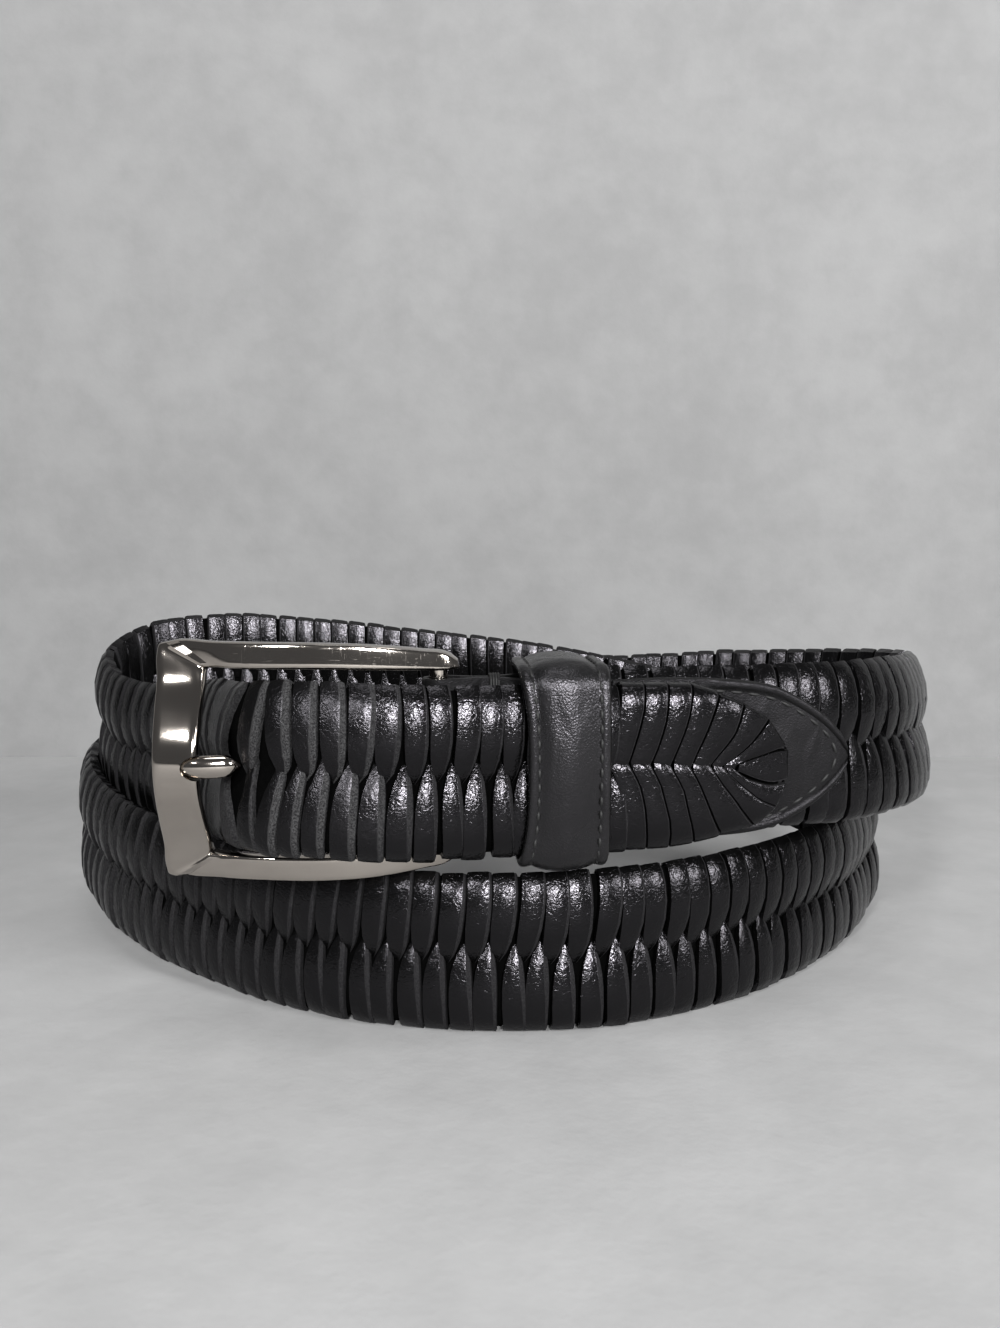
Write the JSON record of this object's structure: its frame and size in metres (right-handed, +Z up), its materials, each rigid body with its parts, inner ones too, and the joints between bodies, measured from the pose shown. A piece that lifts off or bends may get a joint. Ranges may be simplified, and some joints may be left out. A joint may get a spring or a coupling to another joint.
{
  "type": "braided leather belt",
  "caption": "Braided leather belt with a bowed metal frame buckle, keeper loop and stitched pointed tip, fastened and coiled in two turns on its edge.",
  "frame": {"origin": "on the floor, under the middle of the coil's bounding box", "axes": "+Z up along the strap's width, -Y towards the buckle and the strap's pointed end, +X to the right along the strap's end"},
  "size_m": [0.239, 0.1428, 0.0844],
  "materials": {
    "braid": "near-black polished leather strips, creased, with a duller cut edge",
    "leather": "black fine-grained leather, semi-gloss, stitched in black",
    "metal": "polished nickel-plated casting with fine scratches"
  },
  "bodies": {
    "root": {"braided_strap": "braid", "buckle_frame": "metal", "buckle_prong": "metal", "buckle_tab": "leather", "keeper_loop": "leather", "tip_tab": "leather"}
  },
  "joints": []
}
